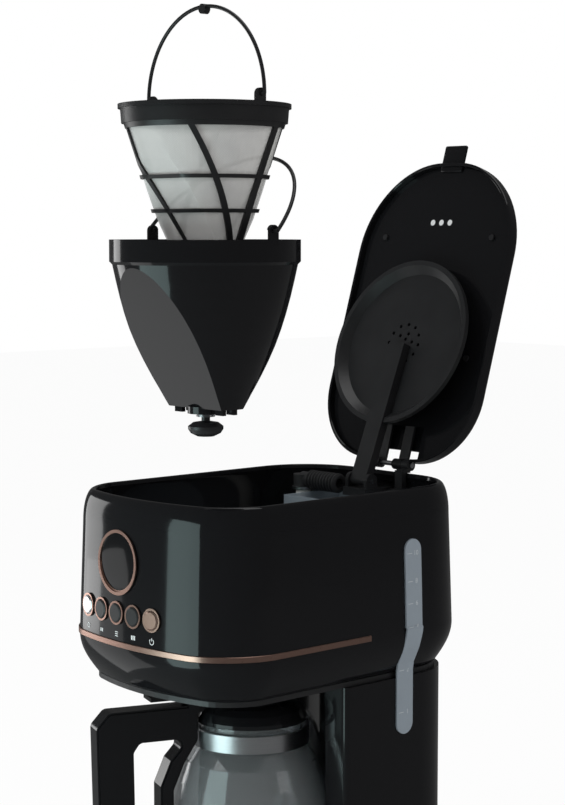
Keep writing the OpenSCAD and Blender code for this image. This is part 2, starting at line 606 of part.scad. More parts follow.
// ---- Carafe ----
module carafe_glass() color([0.8, 0.85, 0.88, 0.35]) at_carafe() translate([0, 0, carafe_floor_z]) {
    outer = [[0, 0], [glass_r - 9, 0], [glass_r - 4, 3], [glass_r, 16], [glass_r, 34], [glass_r - 2.4, 50],
        [glass_r - 6.5, 66], [glass_r - 12, 82], [band_r - 4, 97], [band_r - 4.6, 112]];
    rotate_extrude($fn = 128) polygon(concat(outer, [for (k = [len(outer) - 1:-1:1])
        [outer[k][0] - 2.4, max(outer[k][1], 2.4)]], [[0, 2.4]]));
}
module carafe_band() color(steel) at_carafe() translate([0, 0, 133]) difference() {
    union() {
        tube(band_r, band_r - 2.4, 13);
        rotate([0, 0, -handle_turn]) translate([-6, -band_r - 0.9, 0]) cube([12, 3, 13]);
    }
    cylinder(r = band_r - 2.4, h = 40, center = true);
    rotate([0, 0, -handle_turn]) translate([0, -band_r - 5, 6.5]) rotate([-90, 0, 0]) cylinder(r = 2.1, h = 10);
}
handle_top = 166;
handle_low = 62;
module handle_outline() difference() {
    offset(r = 6) offset(delta = -6) polygon([[band_r + 1, handle_top - 27], [band_r + 1, handle_top],
        [handle_reach - 10, handle_top], [handle_reach, handle_top - 11], [handle_reach - 2, handle_low + 4],
        [handle_reach - 12, handle_low - 6], [glass_r + 10, handle_low - 8], [glass_r + 2.5, handle_low],
        [glass_r + 2.5, 102], [glass_r - 6, 122], [glass_r - 15, handle_top - 30]]);
    offset(r = 5) offset(delta = -5) polygon([[glass_r - 4, handle_top - 25], [handle_reach - 34, handle_top - 25],
        [handle_reach - 29, handle_top - 32], [handle_reach - 30, handle_low + 10],
        [handle_reach - 36, handle_low + 5], [glass_r + 18, handle_low + 5], [glass_r + 13, handle_low + 12],
        [glass_r + 13, 106], [glass_r + 5, 125], [glass_r - 4, handle_top - 31]]);
}
module carafe_handle() color(black) at_handle() {
    rotate([90, 0, -90]) translate([0, 0, -handle_t / 2]) {
        translate([0, 0, 1.5]) linear_extrude(handle_t - 3) handle_outline();
        linear_extrude(handle_t) offset(delta = -1.5) handle_outline();
    }
    hinge_lugs();
}
lid_axis_y = -band_r - 4.6;
lid_axis_z = handle_top + 4.5;
module hinge_lugs() difference() {
    for (s = [-1, 1]) translate([s * 8.2 - 1.6, lid_axis_y - 4, handle_top - 6]) cube([3.2, 8, 14]);
    translate([0, lid_axis_y, lid_axis_z]) rod(1.6, 40);
}
module handle_screw() color(steel) at_handle() translate([0, -band_r + 1.8, 139.5]) rotate([-90, 0, 0])
    translate([0, 0, -1]) cylinder(r = 2, h = 1.8);
module carafe_lid() color(black) {
    at_carafe() translate([0, 0, 150.7]) difference() {
        rotate_extrude($fn = 96) polygon([[0, 14.6], [28, 14.6], [35, 13], [40, 9], [43, 3], [43, 0],
            [39, 0], [39, 3], [37.6, 7.4], [33, 10.8], [27, 12.2], [0, 12.2]]);
        for (k = [0:5]) rotate([0, 0, 60 * k]) translate([12, 0, 0]) cylinder(r = 2, h = 30, $fn = 24);
    }
    at_handle() difference() {
        union() {
            translate([-6, -band_r - 0.5, lid_axis_z - 10.5]) cube([12, 18, 12]);
            translate([-6, lid_axis_y - 3, lid_axis_z - 1.5]) cube([12, 10, 3]);
            translate([0, lid_axis_y, lid_axis_z]) rod(3.2, 12);
            translate([-9, lid_axis_y - 34, lid_axis_z + 1]) cube([18, 29.4, 3]);
            translate([-6, lid_axis_y - 6, lid_axis_z + 1]) cube([12, 6, 2.1]);
        }
        translate([0, lid_axis_y, lid_axis_z]) rod(1.5 + fit, 40);
    }
}
module carafe_pin() color(steel) at_handle() translate([0, lid_axis_y, lid_axis_z]) rod(1.5, 20);

base_shell();
bottom_cover();
rubber_feet();
hotplate();
hotplate_ring();
flow_heater();
thermostat();
power_board();
case_screws();
cord_gland();
column_housing();
column_back();
riser_tube();
feed_tube();
head_skirt();
bay_floor();
head_housing();
head_trim();
water_tank();
water_gauge();
float_ball();
display_ring();
display_window();
display_board();
button_rings();
button_springs();
button_1();
button_2();
button_3();
button_4();
button_5();
hinge_bracket();
lid_pin();
arm_pin();
shower_hose();
hose_clips();
lid_outer();
lid_tab();
lid_inner();
lid_knuckles();
lid_screws();
shower_arm();
shower_disc();
holder_body();
holder_bail();
valve_stem();
valve_spring();
valve_seal();
filter_frame();
filter_ribs();
filter_mesh();
filter_bail();
carafe_glass();
carafe_band();
carafe_handle();
handle_screw();
carafe_lid();
carafe_pin();
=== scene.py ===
import bpy
import bmesh
import json
import math
from mathutils import Matrix, Vector


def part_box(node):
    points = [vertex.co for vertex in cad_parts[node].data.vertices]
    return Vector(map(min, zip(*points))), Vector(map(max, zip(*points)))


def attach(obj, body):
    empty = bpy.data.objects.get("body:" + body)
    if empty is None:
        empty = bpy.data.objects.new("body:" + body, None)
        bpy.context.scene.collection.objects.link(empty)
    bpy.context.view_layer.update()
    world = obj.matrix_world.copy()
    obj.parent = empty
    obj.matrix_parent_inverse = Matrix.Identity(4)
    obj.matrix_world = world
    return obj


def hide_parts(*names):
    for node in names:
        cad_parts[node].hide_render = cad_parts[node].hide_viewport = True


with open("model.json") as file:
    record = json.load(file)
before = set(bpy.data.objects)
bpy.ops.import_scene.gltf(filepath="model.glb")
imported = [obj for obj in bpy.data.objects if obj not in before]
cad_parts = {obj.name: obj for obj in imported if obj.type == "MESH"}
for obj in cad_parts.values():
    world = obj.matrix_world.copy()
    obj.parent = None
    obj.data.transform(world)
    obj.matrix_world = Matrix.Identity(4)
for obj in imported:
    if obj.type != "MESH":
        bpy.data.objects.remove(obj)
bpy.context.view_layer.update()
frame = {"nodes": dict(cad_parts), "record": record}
print("frame loaded")

mm = 0.001
headLow, headHigh = (Vector(c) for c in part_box("head_housing"))
skirtLow = Vector(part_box("head_skirt")[0])
machine = dict(halfWidth=headHigh.x, halfDepth=headHigh.y, bow=18 * mm, frontRadius=40 * mm, backRadius=62 * mm,
               rim=headHigh.z, trim=headLow.z, skirt=skirtLow.z, wall=2.6 * mm, leastRadius=6 * mm)

# camera
view = dict(azimuth=48, elevation=5, distance=1.5, scale=1.3, frameWide=565, frameHigh=805,
            anchor=(0, 0, machine["rim"]), anchorX=268, anchorY=484)
azimuth, elevation = math.radians(view["azimuth"]), math.radians(view["elevation"])
backward = Vector((math.sin(azimuth) * math.cos(elevation), -math.cos(azimuth) * math.cos(elevation),
                   math.sin(elevation)))
rightward = Vector((math.cos(azimuth), math.sin(azimuth), 0))
upward = backward.cross(rightward)
focal = view["scale"] * 1000 * view["distance"]  # in pixels
middle = (view["frameWide"] / 2, view["frameHigh"] / 2)
cameraPlace = (Vector(view["anchor"]) + backward * view["distance"]
               - rightward * (view["anchorX"] - middle[0]) / focal * view["distance"]
               + upward * (view["anchorY"] - middle[1]) / focal * view["distance"])
cameraData = bpy.data.cameras.new("camera")
cameraData.sensor_fit = "VERTICAL"
cameraData.sensor_height = 36
cameraData.lens = 36 * focal / view["frameHigh"]
camera = bpy.data.objects.new("camera", cameraData)
camera.matrix_world = Matrix((rightward, upward, backward)).transposed().to_4x4()
camera.location = cameraPlace
bpy.context.collection.objects.link(camera)
bpy.context.scene.camera = camera
bpy.context.scene.view_settings.view_transform = "Standard"


def pictureX(point):
    away = Vector(point) - cameraPlace
    return middle[0] + focal * away.dot(rightward) / -away.dot(backward)


# shader maths
class Wire:
    def __init__(self, sheet, socket):
        self.sheet = sheet
        self.socket = socket

    def maths(self, operation, *others):
        return self.sheet.add("ShaderNodeMath", dict(operation=operation), dict(enumerate(others)))

    def __add__(self, other): return self.maths("ADD", self, other)
    def __radd__(self, other): return self.maths("ADD", other, self)
    def __sub__(self, other): return self.maths("SUBTRACT", self, other)
    def __rsub__(self, other): return self.maths("SUBTRACT", other, self)
    def __mul__(self, other): return self.maths("MULTIPLY", self, other)
    def __rmul__(self, other): return self.maths("MULTIPLY", other, self)
    def sine(self): return self.maths("SINE", self)
    def angle(self, other): return self.maths("ARCTAN2", self, other)


class Sheet:
    def __init__(self, name, owner=None):
        self.owner = owner or bpy.data.materials.new(name)
        self.owner.use_nodes = True
        self.tree = self.owner.node_tree
        self.tree.nodes.clear()

    def add(self, kind, settings=None, sockets=None, out=0):
        node = self.tree.nodes.new(kind)
        for key, value in (settings or {}).items():
            setattr(node, key, value)
        for key, value in (sockets or {}).items():
            if isinstance(value, Wire):
                self.tree.links.new(value.socket, node.inputs[key])
            else:
                node.inputs[key].default_value = value
        wire = Wire(self, node.outputs[out] if node.outputs else None)
        wire.node = node
        return wire

    def place(self):
        return self.add("ShaderNodeTexCoord", out=3)

    def noise(self, scale, detail=3, at=None):
        return self.add("ShaderNodeTexNoise", {}, {"Vector": at or self.place(), "Scale": scale,
                                                   "Detail": detail, "Roughness": 0.5})

    def blend(self, amount, first, second):
        wire = self.add("ShaderNodeMix", dict(data_type="RGBA"), {0: amount, 6: first, 7: second})
        wire.socket = wire.node.outputs[2]
        return wire

    def bump(self, height, depth, strength=1.0):
        return self.add("ShaderNodeBump", {}, {"Height": height, "Distance": depth, "Strength": strength})

    def finish(self, **sockets):
        named = {key.replace("_", " "): value for key, value in sockets.items()}
        surface = self.add("ShaderNodeBsdfPrincipled", {}, named)
        self.add("ShaderNodeOutputMaterial", {}, {"Surface": surface})
        return self.owner


def colour(r, g, b):
    return (r, g, b, 1)


def grey(tone, blue=1.0):
    return colour(tone, tone, tone * blue)


def deeper(tint, share):
    return colour(*(channel * share for channel in tint))


def glossBlack(name, tone=0.006, rough=0.07, coat=0.2):
    s = Sheet(name)
    smudge = s.noise(38, 4)
    dust = s.noise(900, 2)
    dusty = colour(tone * 1.5, tone * 1.5, tone * 1.7)
    return s.finish(Base_Color=s.blend(dust, grey(tone, 1.1), dusty), Roughness=rough + 0.05 * smudge,
                    Coat_Weight=coat, Coat_Roughness=0.03, Specular_IOR_Level=0.24,
                    Normal=s.bump(s.noise(22, 1), 0.00006, 0.25))


def satinBlack(name, tone=0.012, rough=0.3):
    s = Sheet(name)
    grain = s.noise(2600, 2)
    worn = colour(tone * 1.7, tone * 1.7, tone * 1.8)
    return s.finish(Base_Color=s.blend(s.noise(60), grey(tone, 1.08), worn),
                    Roughness=rough + 0.12 * grain, Normal=s.bump(grain, 0.00008, 0.35))


def plated(name, tint, rough=0.16):
    s = Sheet(name)
    wear = s.noise(260, 4)
    deep = colour(tint[0] * 0.86, tint[1] * 0.84, tint[2] * 0.83)
    return s.finish(Base_Color=s.blend(wear, colour(*tint), deep), Metallic=1.0,
                    Roughness=rough + 0.12 * s.noise(700, 3), Normal=s.bump(wear, 0.00004, 0.3))


def brushed(name, tint, rough=0.24):
    s = Sheet(name)
    drawnOut = s.add("ShaderNodeMapping", {}, {"Vector": s.place(), "Scale": (60, 60, 4200)})
    grain = s.noise(1.0, 3, at=drawnOut)
    return s.finish(Base_Color=s.blend(grain, colour(*tint), deeper(tint, 0.82)), Metallic=1.0,
                    Roughness=rough + 0.14 * grain, Normal=s.bump(grain, 0.00003, 0.4))


def moulded(name, tint, rough):
    s = Sheet(name)
    grain = s.noise(1500, 2)
    return s.finish(Base_Color=s.blend(s.noise(45), colour(*tint), deeper(tint, 0.8)),
                    Roughness=rough + 0.1 * grain, Normal=s.bump(grain, 0.0001, 0.3))


def smoked(name, tint, rough, alpha):
    s = Sheet(name)
    haze = s.noise(80, 3)
    return s.finish(Base_Color=s.blend(haze, colour(*tint), deeper(tint, 0.85)),
                    Roughness=rough + 0.08 * haze, Alpha=alpha + 0.06 * haze, Normal=s.bump(haze, 0.0001, 0.2))


def clearGlass(name):
    s = Sheet(name)
    ripple = s.noise(14, 2)
    return s.finish(Base_Color=s.blend(ripple, colour(0.80, 0.83, 0.84), colour(0.70, 0.73, 0.75)),
                    Roughness=0.015 + 0.02 * ripple, Transmission_Weight=0.92, IOR=1.45,
                    Normal=s.bump(ripple, 0.0006, 0.25))


def netting(name):
    s = Sheet(name)
    split = s.add("ShaderNodeSeparateXYZ", {}, {0: s.place()})
    x, y, z = (Wire(s, split.node.outputs[k]) for k in range(3))
    low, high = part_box("filter_mesh")
    centreX, centreY = (low[0] + high[0]) / 2, (low[1] + high[1]) / 2
    turn = (y - centreY).angle(x - centreX)
    threadsRound, threadsPerMetre = 260, 6200
    threads = (turn * threadsRound).sine() * (z * threadsPerMetre).sine()
    weave = 0.5 + 0.5 * threads
    shade = s.noise(34, 3)
    return s.finish(Base_Color=s.blend(shade, colour(0.80, 0.79, 0.76), grey(0.56)),
                    Roughness=0.5 + 0.2 * weave, Alpha=0.42 + 0.26 * weave,
                    Normal=s.bump(weave, 0.0001, 0.5))


def ink(name, tint):
    s = Sheet(name)
    return s.finish(Base_Color=s.blend(s.noise(400), colour(*tint), deeper(tint, 0.9)), Roughness=0.5)


finishes = {
    "black_gloss": glossBlack("blackGloss"),
    "black_satin": satinBlack("blackSatin"),
    "rubber_black": satinBlack("blackRubber", 0.016, 0.5),
    "rose_gold": plated("roseGold", (0.60, 0.38, 0.31), 0.24),
    "steel": brushed("brightSteel", (0.74, 0.75, 0.77)),
    "heater_metal": brushed("castMetal", (0.6, 0.6, 0.62), 0.4),
    "plate_coating": satinBlack("plateCoating", 0.03, 0.4),
    "board_green": moulded("boardResist", (0.03, 0.16, 0.07), 0.35),
    "tube_clear": moulded("siliconeTube", (0.74, 0.74, 0.71), 0.45),
    "tank_smoke": smoked("smokedTank", (0.36, 0.42, 0.47), 0.2, 0.62),
    "float_red": moulded("floatRed", (0.7, 0.1, 0.05), 0.3),
    "window_black": glossBlack("windowBlack", 0.004, 0.05, 0.3),
    "seal_red": moulded("sealRed", (0.35, 0.05, 0.04), 0.5),
    "mesh_nylon": netting("nylonNet"),
    "clear_glass": clearGlass("carafeGlass"),
}
shades = {
    "gauge": smoked("gaugeStrip", (0.33, 0.38, 0.43), 0.28, 0.94),
    "print": ink("whitePrint", (0.8, 0.8, 0.8)),
    "faintPrint": ink("palePrint", (0.62, 0.66, 0.68)),
    "holderGloss": glossBlack("holderGloss", 0.006, 0.1, 0.3),
    # button_1 gets bright silver metal; its tint is a painted highlight, the glint the leftmost button catches
    "paintedGlintCap": plated("paintedGlintCap", (0.85, 0.85, 0.86), 0.2),
}
print("materials made")


def smoothShade(mesh, limit=34):
    mesh.shade_smooth()
    mesh.set_sharp_from_angle(angle=math.radians(limit))


slotOf = {row["node"]: row["material_slot"] for row in frame["record"]["subparts"]}
for name, piece in frame["nodes"].items():
    piece.data.materials.clear()
    piece.data.materials.append(finishes[slotOf[name]])
# button_1 below takes the silver finish that paints its highlight
ownFinish = dict(holder_body=shades["holderGloss"], water_gauge=shades["gauge"],
                 button_1=shades["paintedGlintCap"], lid_screws=finishes["black_satin"])
for name, material in ownFinish.items():
    frame["nodes"][name].data.materials[0] = material
print("frame dressed")


# mesh helpers
def placePiece(name, mesh, body, slotName, material=None, stands=()):
    piece = bpy.data.objects.new(name, mesh)
    mesh.materials.append(material or finishes[slotName])
    bpy.context.collection.objects.link(piece)
    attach(piece, body)
    if stands:
        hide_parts(*stands)
    return piece


def makePiece(name, points, faces, body, slotName, material=None, stands=()):
    mesh = bpy.data.meshes.new(name)
    mesh.from_pydata([tuple(p) for p in points], [], faces)
    mesh.update()
    smoothShade(mesh)
    return placePiece(name, mesh, body, slotName, material, stands)


def loft(name, rings, body, slotName, material=None, stands=(), closed=False, loop=False):
    count = len(rings[0])
    points = [p for ring in rings for p in ring]
    spans = len(rings) if loop else len(rings) - 1
    faces = []
    for r in range(spans):
        a, b = r * count, (r + 1) % len(rings) * count
        faces += [(a + k, a + (k + 1) % count, b + (k + 1) % count, b + k) for k in range(count)]
    if closed:
        faces.append(tuple(reversed(range(count))))
        faces.append(tuple(range((len(rings) - 1) * count, len(rings) * count)))
    return makePiece(name, points, faces, body, slotName, material, stands)


def planRing(inset, height, steps=26):
    m = machine
    w, b = m["halfWidth"] - inset, m["halfDepth"] - inset
    f = m["halfDepth"] - m["bow"] - inset
    rf = max(m["frontRadius"] - inset, m["leastRadius"])
    rb = max(m["backRadius"] - inset, m["leastRadius"])
    corners = [(w - rf, rf - f, rf, -90), (w - rb, b - rb, rb, 0),
               (rb - w, b - rb, rb, 90), (rf - w, rf - f, rf, 180)]
    flat = []
    for cx, cy, r, start in corners:
        for k in range(steps + 1):
            a = math.radians(start + 90 * k / steps)
            flat.append((cx + r * math.cos(a), cy + r * math.sin(a)))
    flat += [((rf - w) * (1 - k / 8), -f) for k in range(1, 16)]
    bowed = [(x, y - m["bow"] * (1 - (x / w) ** 2) * (y / f) ** 2 if y < 0 else y) for x, y in flat]
    return [Vector((x, y, height)) for x, y in bowed]


# head: a wall that leans in slowly to the shoulder, then rolls over to the rim
head = dict(roll=24 * mm, lean=3 * mm, rimInset=10.5 * mm, rollSteps=14, wallSteps=8)
m = machine
shoulder = m["rim"] - head["roll"]


def easedInset(height):
    if height <= shoulder:
        return head["lean"] * (height - m["trim"]) / (shoulder - m["trim"])
    t = min((height - shoulder) / (m["rim"] - shoulder), 1)
    return head["lean"] + (head["rimInset"] - head["lean"]) * (1 - math.sqrt(max(1 - t * t, 0)))


levels = [m["trim"] + (shoulder - m["trim"]) * k / head["wallSteps"] for k in range(head["wallSteps"])]
levels += [shoulder + head["roll"] * math.sin(math.pi / 2 * k / head["rollSteps"])
           for k in range(head["rollSteps"])]
rings = [planRing(easedInset(z), z) for z in levels]
insideOfRim = [(10.2, 0), (11.2, 0), (12.2, 0.6), (12.6, 3), (10.5, 6), (5.6, 24)]  # mm: inset, drop
rings += [planRing(inset * mm, m["rim"] - drop * mm) for inset, drop in insideOfRim]
rings.append(planRing(m["wall"], m["trim"]))
loft("headShell", rings, "machine", "black_gloss", stands=["head_housing"], loop=True)

# skirt: leaves the trim strip upright and turns in towards its lower edge
skirt = dict(steps=16, lower=13 * mm, start=1.15, belly=0.9, edge=0.985, lip=(0.8 * mm, 2.2 * mm))
skirt["back"] = ((skirt["lower"] + m["wall"], 1 * mm), (9 * mm, 18 * mm))  # inset, rise
depth = m["trim"] - m["skirt"]
outer = []
for k in range(skirt["steps"] + 1):
    t = k / skirt["steps"]
    swell = skirt["lower"] * (1 - math.cos(math.pi / 2 * t ** skirt["start"])) ** skirt["belly"]
    outer.append(planRing(swell, m["trim"] - depth * t * skirt["edge"]))
outer += [planRing(skirt["lower"] + lip, m["skirt"]) for lip in skirt["lip"]]
inner = [planRing(inset, m["skirt"] + rise) for inset, rise in skirt["back"]]
inner.append(planRing(m["wall"], m["trim"]))
loft("headSkirt", outer + inner, "machine", "black_gloss", stands=["head_skirt"], loop=True)

trimStrip = dict(proud=0.9 * mm, height=4.5 * mm, end=13 * mm, sunk=1.3 * mm, lift=0.05 * mm, soft=0.35 * mm,
                 fanCentre=-1 * mm)
strip = [p for p in planRing(-trimStrip["proud"], m["trim"], 40) if p.y <= trimStrip["end"]]
strip = sorted(strip, key=lambda p: math.atan2(p.x, trimStrip["fanCentre"] - p.y))
stripEnd = Vector((m["halfWidth"] + trimStrip["proud"], trimStrip["end"], m["trim"]))
strip = [Vector((-stripEnd.x, stripEnd.y, stripEnd.z))] + strip + [stripEnd]
low, high = m["trim"] + trimStrip["lift"], m["trim"] + trimStrip["height"]
soft, sunk = trimStrip["soft"], -trimStrip["sunk"]
profile = [(sunk, low), (-soft, low), (0, low + soft), (0, high - soft), (-soft, high), (sunk, high)]
sections = []
for k, p in enumerate(strip):
    along = (strip[min(k + 1, len(strip) - 1)] - strip[max(k - 1, 0)]).normalized()
    out = Vector((along.y, -along.x, 0))
    sections.append([Vector((p.x, p.y, 0)) + out * u + Vector((0, 0, z)) for u, z in profile])
loft("trimStrip", sections, "machine", "rose_gold", stands=["head_trim"], closed=True)
print("head built")

# column: a block with rounded wings round the carafe's niche
column = dict(inset=10 * mm, front=-2 * mm, niche=69 * mm, axis=-18 * mm, low=34.1 * mm, high=185.9 * mm,
              edge=4 * mm, sideStart=6 * mm)
outline = [p for p in planRing(column["inset"], 0, 30) if p.y > column["sideStart"]]
outline = sorted(outline, key=lambda p: math.atan2(p.y, p.x))
wing, e = m["halfWidth"] - column["inset"], column["edge"]
edgeAngles = [math.radians(-90 + 90 * k / 8) for k in range(9)]
rounded = [Vector((wing - e + e * math.cos(a), column["front"] + e + e * math.sin(a), 0)) for a in edgeAngles]
reach = math.sqrt(column["niche"] ** 2 - (column["front"] - column["axis"]) ** 2)
rest = math.atan2(column["front"] - column["axis"], reach)
nicheAngles = [math.pi - rest - (math.pi - 2 * rest) * k / 60 for k in range(61)]
nicheArc = [Vector((column["niche"] * math.cos(a), column["axis"] + column["niche"] * math.sin(a), 0))
            for a in nicheAngles]
outline = rounded + outline + [Vector((-p.x, p.y, 0)) for p in reversed(rounded)] + nicheArc
loft("columnShell", [[Vector((p.x, p.y, z)) for p in outline] for z in (column["low"], column["high"])],
     "machine", "black_gloss", stands=["column_housing"], closed=True)

base = dict(low=5 * mm, high=34 * mm, roll=4 * mm, chamfer=0.8 * mm)
baseRings = [planRing(column["inset"] + base["chamfer"], base["low"]),
             planRing(column["inset"], base["low"] + base["chamfer"])]
for k in range(9):
    a = math.pi / 2 * k / 8
    baseRings.append(planRing(column["inset"] + base["roll"] * (1 - math.cos(a)),
                              base["high"] - base["roll"] * (1 - math.sin(a))))
loft("baseShell", baseRings, "machine", "black_gloss", stands=["base_shell"], closed=True)
print("column and base built")


# controls
def frontPlace(x, height, proud=0.0):
    w = m["halfWidth"] - easedInset(height)
    y = -(m["halfDepth"] - easedInset(height)) + m["bow"] * (x / w) ** 2
    turn = math.atan(2 * m["bow"] * x / m["halfWidth"] ** 2)
    out = Vector((math.sin(turn), -math.cos(turn), 0))
    across = Vector((math.cos(turn), math.sin(turn), 0))
    return Vector((x, y, height)) + out * proud, across, out


def frontPatch(name, outline, x, height, proud, thick, body, slotName, material):
    centre, across, out = frontPlace(x, height, proud)
    front = [centre + across * u + Vector((0, 0, v)) for u, v in outline]
    back = [p - out * thick for p in front]
    count = len(front)
    faces = [tuple(range(count)), tuple(reversed(range(count, 2 * count)))]
    faces += [(k, k + count, (k + 1) % count + count, (k + 1) % count) for k in range(count)]
    return makePiece(name, front + back, faces, body, slotName, material)


def disc(radius, count):
    angles = [2 * math.pi * k / count for k in range(count)]
    return [(radius * math.cos(a), radius * math.sin(a)) for a in angles]


display = dict(x=-12 * mm, z=283 * mm, radius=21.6 * mm, dome=0.5 * mm, base=0.35 * mm, depth=1.5 * mm)


def windowRing(radius, rise):
    centre, across, out = frontPlace(display["x"], display["z"])
    return [centre + across * u + Vector((0, 0, v)) + out * rise for u, v in disc(radius, 64)]


windowRings = [windowRing(display["radius"], -display["depth"])]
for k in range(9):
    a = math.pi / 2 * k / 9
    windowRings.append(windowRing(display["radius"] * math.cos(a),
                                  display["base"] + display["dome"] * math.sin(a)))
loft("displayWindow", windowRings, "machine", "window_black", stands=["display_window"], closed=True)

icons = dict(x0=8 * mm, gap=20 * mm, z=230.5 * mm, size=2.1 * mm, thick=0.2 * mm, stroke=0.5 * mm)


def strokeBar(x, z, du, dv, wide, high, tag):
    u, v = wide / 2, high / 2
    outline = [(du - u, dv - v), (du + u, dv - v), (du + u, dv + v), (du - u, dv + v)]
    frontPatch(tag, outline, x, z, icons["thick"], icons["thick"] * 2, "machine", "steel", shades["print"])


def strokeArc(x, z, radius, start, stop, tag):
    n = 20
    angles = [math.radians(start + (stop - start) * k / n) for k in range(n + 1)]
    s = icons["stroke"] / 2
    centre, across, out = frontPlace(x, z, icons["thick"])
    points = []
    for a in angles:
        for r in (radius - s, radius + s):
            points.append(centre + across * r * math.cos(a) + Vector((0, 0, r * math.sin(a))))
    faces = [(2 * k, 2 * k + 1, 2 * k + 3, 2 * k + 2) for k in range(n)]
    makePiece(tag, points, faces, "machine", "steel", shades["print"])


for k in range(-3, 2):
    x, z, s = icons["x0"] + k * icons["gap"], icons["z"], icons["size"]
    if k == 1:
        strokeArc(x, z, s, 125, 415, "powerRing")
        strokeBar(x, z, 0, s * 0.75, icons["stroke"], s * 1.1, "powerBar")
    elif k == 0:
        for j in (-1, 0, 1):
            strokeBar(x, z, j * s * 0.8, 0, s * 0.45, s * 1.5, f"cupMark{j + 1}")
    elif k == -1:
        for j, v in enumerate((-1, 0, 1)):
            strokeBar(x, z, 0, v * s * 0.7, s * 1.6, icons["stroke"], f"bloomMark{j}")
    elif k == -2:
        strokeBar(x, z, -s * 0.5, 0, s * 0.5, s * 1.2, "timerMark0")
        strokeBar(x, z, s * 0.5, 0, s * 0.5, s * 1.2, "timerMark1")
    else:
        strokeArc(x, z, s * 0.8, 0, 360, "clockMark")

# water gauge print
gauge = dict(marks=(118, 99, 84, 68, 37, 8), base=150 * mm, stretch=1.12, tick=5 * mm, stroke=0.5 * mm,
             text=5.2 * mm, tickPlace=4.6 * mm, textPlace=6.6 * mm, proud=0.12 * mm)
gaugeLow, gaugeHigh = (Vector(c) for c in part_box("water_gauge"))


def gaugeX(height):
    probe = Vector((gaugeHigh.x + 0.02, (gaugeLow.y + gaugeHigh.y) / 2, height))
    node = frame["nodes"]["water_gauge"]
    hit, spot, normal, index = node.ray_cast(probe, Vector((-1, 0, 0)))
    return spot.x if hit else gaugeHigh.x


for k, rise in enumerate(gauge["marks"]):
    z = gauge["base"] + rise * mm * gauge["stretch"]
    face = gaugeX(z) + gauge["proud"]
    y = gaugeLow.y + gauge["tickPlace"]
    u, v = gauge["tick"] / 2, gauge["stroke"] / 2
    corners = [(y - u, z - v), (y + u, z - v), (y + u, z + v), (y - u, z + v)]
    makePiece(f"gaugeTick{k}", [Vector((face, a, b)) for a, b in corners], [(0, 1, 2, 3)], "machine",
              "tank_smoke", shades["faintPrint"])
    font = bpy.data.curves.new(f"gaugeNumber{k}", "FONT")
    font.body = str(10 - 2 * k if k < 5 else 1)
    font.size = gauge["text"]
    font.align_x, font.align_y = "CENTER", "CENTER"
    number = bpy.data.objects.new(f"gaugeNumber{k}", font)
    number.rotation_euler = (math.pi / 2, 0, math.pi / 2)
    number.location = (face, y + gauge["textPlace"], z)
    bpy.context.collection.objects.link(number)
    font.materials.append(shades["faintPrint"])
    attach(number, "machine")
print("controls built")


# lid, built closed and swung open about its hinge
lid = dict(halfWidth=84 * mm, length=254 * mm, frontRadius=76 * mm, backRadius=58 * mm, backGap=2 * mm,
           hinge=Vector((0, 131 * mm, 336 * mm)), swing=107, base=331.5 * mm, wall=2.6 * mm, side=7 * mm,
           crown=16 * mm, roll=18 * mm, notch=27 * mm, leastRadius=1 * mm)
lidTurn = (Matrix.Translation(lid["hinge"]) @ Matrix.Rotation(-math.radians(lid["swing"]), 4, "X")
           @ Matrix.Translation(-lid["hinge"]))


def lidRing(inset, height, steps=22):
    d = lid
    rf, rb = d["frontRadius"], d["backRadius"]
    front = d["hinge"].y - d["length"] + rf
    back = d["hinge"].y - d["backGap"] - rb
    corners = [(d["halfWidth"] - rf, front, rf, -90), (d["halfWidth"] - rb, back, rb, 0),
               (rb - d["halfWidth"], back, rb, 90), (rf - d["halfWidth"], front, rf, 180)]
    ring = []
    for cx, cy, r, start in corners:
        r = max(r - inset, d["leastRadius"])
        for k in range(steps + 1):
            a = math.radians(start + 90 * k / steps)
            ring.append(Vector((cx + r * math.cos(a), cy + r * math.sin(a), d["base"] + height)))
    return ring


def turned(points):
    return [lidTurn @ p for p in points]


def cutAway(piece, cutter):
    cutter.hide_render = True
    trim = piece.modifiers.new("cut", "BOOLEAN")
    trim.operation, trim.object, trim.solver = "DIFFERENCE", cutter, "EXACT"
    bpy.context.view_layer.update()
    shaped = bpy.data.meshes.new_from_object(piece.evaluated_get(bpy.context.evaluated_depsgraph_get()))
    piece.modifiers.clear()
    piece.data = shaped
    smoothShade(shaped)
    bpy.data.objects.remove(cutter)


def boxPoints(low, high):
    flat = [(low[0], low[1]), (high[0], low[1]), (high[0], high[1]), (low[0], high[1])]
    return [Vector((x, y, z)) for z in (low[2], high[2]) for x, y in flat]


boxFaces = [(3, 2, 1, 0), (4, 5, 6, 7), (0, 1, 5, 4), (1, 2, 6, 5), (2, 3, 7, 6), (3, 0, 4, 7)]
w, bead = lid["wall"], 0.6 * mm
shell = [(w + 14 * mm, lid["crown"] - w), (w + 5 * mm, 12 * mm), (w, 8 * mm), (w, bead), (w - bead, 0),
         (bead, 0), (0, bead), (0, lid["side"])]
for k in range(1, 13):
    a = math.pi / 2 * k / 12
    shell.append((lid["roll"] * (1 - math.cos(a)), lid["side"] + (lid["crown"] - lid["side"]) * math.sin(a)))
lidShell = loft("lidShell", [turned(lidRing(inset, rise)) for inset, rise in shell], "lid", "black_gloss",
                stands=["lid_outer"], closed=True)

# room for the hinge at the lid's back edge
notchLow = (-lid["notch"], lid["hinge"].y - 13 * mm, lid["base"] - 6 * mm)
notchHigh = (lid["notch"], lid["hinge"].y + 20 * mm, lid["base"] + 40 * mm)
notchMesh = bpy.data.meshes.new("notch")
notchMesh.from_pydata(turned(boxPoints(notchLow, notchHigh)), [], boxFaces)
notch = bpy.data.objects.new("notch", notchMesh)
bpy.context.collection.objects.link(notch)
cutAway(lidShell, notch)


